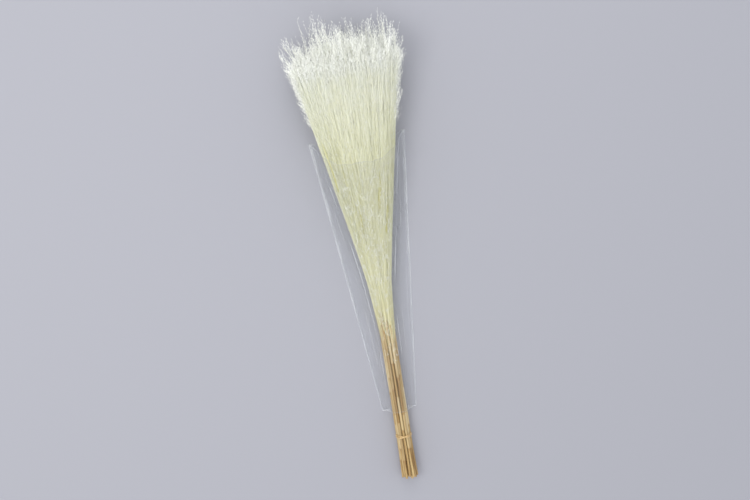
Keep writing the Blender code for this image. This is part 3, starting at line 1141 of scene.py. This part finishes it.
strawSkins = [
    strawMaterial("strawStem", stemLook["stem"]),
    strawMaterial("strawSheath", stemLook["sheath"]),
    pithMaterial(),
]
patterns = [modelStem(kind, strawSkins) for kind in range(len(stemShape["joints"]))]
for number, name in enumerate(stemNames):
    layStem(name, patterns[number % len(patterns)])
for pattern in patterns:
    bpy.data.objects.remove(pattern, do_unlink=True)
report("stems")


# Rubber band, wound twice round the stems

bandShape = {
    "cord": (0.00130, 0.00056),  # half its width and half its thickness
    "apart": 0.00150,  # of each turn from the middle
    "crossingLift": 0.00120,
    "segments": 200,
    "sides": 12,
}
bandLook = {"colours": ((0.46, 0.29, 0.12), (0.62, 0.43, 0.20), (0.70, 0.52, 0.28))}


def bandMaterial():
    dark, middle, light = bandLook["colours"]
    material, tree, shader = newMaterial("latexBand", 0.55)
    colour = colourRamp(tree, stretchedNoise(tree, 400.0, 1.0), [(0.3, dark), (0.5, middle), (0.7, light)])
    tree.links.new(colour, shader.inputs["Base Color"])
    bumpFrom(tree, shader, stretchedNoise(tree, 2200.0, 1.0, 2.0), 0.4, 0.0002)
    return material


def bandOutline(s):
    # The tight loop round the stems: points, headings out, and how far round each lies.
    centres = np.array([[readAt(rows, 1, s), readAt(rows, 2, s)] for rows in stemRows.values()])
    radius = max(readAt(rows, 3, s) for rows in stemRows.values()) + 0.0001
    angles = np.linspace(0, 2 * math.pi, 1441) - math.pi / 2
    out = np.stack([np.cos(angles), np.sin(angles)], axis=1)
    furthest = centres[np.argmax(out @ centres.T, axis=1)]
    points = furthest + out * radius
    gone = np.concatenate([[0], np.cumsum(np.linalg.norm(np.diff(points, axis=0), axis=1))])
    return points, out, gone / gone[-1]


def makeBand():
    shape = bandShape
    rows = sectionsOf("tie_band")
    middle = (rows[0, 0] + rows[-1, 0]) / 2
    bpy.ops.object.select_all(action="DESELECT")
    bpy.ops.mesh.primitive_torus_add(
        major_segments=shape["segments"], minor_segments=shape["sides"], major_radius=1.0, minor_radius=0.25
    )
    band = bpy.context.object
    band.name = "rubberBand"
    points = pointsOf(band.data)
    windAngle = np.arctan2(points[:, 1], points[:, 0]) % (2 * math.pi) * 2
    away = np.hypot(points[:, 0], points[:, 1]) - 1.0
    section = np.arctan2(points[:, 2], away)
    loop, out, share = bandOutline(middle)
    wanted = (windAngle / (2 * math.pi)) % 1.0
    at = np.stack([np.interp(wanted, share, loop[:, 0]), np.interp(wanted, share, loop[:, 1])], axis=1)
    heading = np.stack([np.interp(wanted, share, out[:, 0]), np.interp(wanted, share, out[:, 1])], axis=1)
    heading /= np.linalg.norm(heading, axis=1, keepdims=True)

    # The two turns lie side by side and change places where one passes over the other.
    lift = shape["crossingLift"] * np.clip(np.sin(windAngle / 2), 0, 1) ** 10
    halfWidth, halfThick = shape["cord"]
    outBy = halfThick * (1 + np.cos(section)) + lift
    sideBy = shape["apart"] * np.tanh(4 * np.cos(windAngle / 2)) + halfWidth * np.sin(section)
    placed = at + heading * outBy[:, None]
    placePoints(band, np.stack([placed[:, 0], middle + cutEndY + sideBy, placed[:, 1]], axis=1))
    selectOnly(band)
    bpy.ops.object.mode_set(mode="EDIT")
    bpy.ops.mesh.select_all(action="SELECT")
    bpy.ops.mesh.normals_make_consistent(inside=False)
    bpy.ops.object.mode_set(mode="OBJECT")
    bpy.ops.object.shade_smooth()
    band.data.materials.append(bandMaterial())
    finishPiece(band, "rubber", "tie_band")


makeBand()
report("rubber band")


# Floor, light and camera

studio = {
    "floorColour": (0.384, 0.387, 0.427),
    "worldColour": (0.95, 0.965, 1.0),
    "worldStrength": 0.96,
    "lights": (  # name, place, size, power, colour, and whether glossy surfaces mirror it
        ("keySoftbox", (-1.35, 0.2, 2.2), 1.0, 17.0, (1.0, 0.98, 0.95), True),
        ("frontSoftbox", (-0.3, 0.9, 2.8), 2.2, 7.0, (1.0, 0.99, 0.97), True),
        ("tipsSoftbox", (0.2, 2.0, 1.5), 1.2, 10.0, (1.0, 0.99, 0.97), False),
    ),
    "cameraTilt": 13.0,  # degrees from straight down, towards the plumes
    "bundleLean": 9.0,  # degrees to the left in the picture
    "lens": 85.0,
    "distance": 2.96,
    "shiftAlong": 0.022,  # the camera's aim past the middle of the bundle
}


def makeFloor():
    bpy.ops.mesh.primitive_plane_add(size=16, location=(0, 0, 0))
    floor = bpy.context.object
    floor.name = "studioFloor"
    material, _, shader = newMaterial("studioFloorPaint", 0.8)
    shader.inputs["Base Color"].default_value = (*studio["floorColour"], 1)
    floor.data.materials.append(material)


def makeLight(name, place, size, power, colour, mirrored):
    light = bpy.data.lights.new(name, "AREA")
    light.shape = "SQUARE"
    light.size = size
    light.energy = power
    light.color = colour
    lamp = bpy.data.objects.new(name, light)
    bpy.context.scene.collection.objects.link(lamp)
    lamp.location = place
    lamp.rotation_euler = (-Vector(place)).to_track_quat("-Z", "Y").to_euler()
    lamp.visible_glossy = mirrored


def makeWorld():
    world = bpy.data.worlds.new("studioAir")
    bpy.context.scene.world = world
    world.use_nodes = True
    background = world.node_tree.nodes["Background"]
    background.inputs["Color"].default_value = (*studio["worldColour"], 1)
    background.inputs["Strength"].default_value = studio["worldStrength"]


def makeCamera():
    low, high = boxAtStart
    target = (low + high) / 2 + Vector((0, studio["shiftAlong"], 0))
    tilt = math.radians(studio["cameraTilt"])
    back = Vector((0, math.sin(tilt), math.cos(tilt)))
    cameraData = bpy.data.cameras.new("studioCamera")
    cameraData.lens = studio["lens"]
    cameraData.sensor_width = 36.0
    camera = bpy.data.objects.new("studioCamera", cameraData)
    bpy.context.scene.collection.objects.link(camera)
    # The picture's up is along the bundle, turned so that the bundle leans.
    up = Vector((0, math.cos(tilt), -math.sin(tilt)))
    right = up.cross(back)
    turned = Matrix((right, up, back)).transposed()
    roll = Matrix.Rotation(math.radians(-studio["bundleLean"]), 3, "Z")
    camera.matrix_world = Matrix.Translation(target + back * studio["distance"]) @ (turned @ roll).to_4x4()
    bpy.context.scene.camera = camera


makeFloor()
makeWorld()
for light in studio["lights"]:
    makeLight(*light)
makeCamera()
bpy.context.scene.view_settings.view_transform = "Standard"
bpy.context.scene.cycles.transparent_max_bounces = 24
report("floor, light and camera")
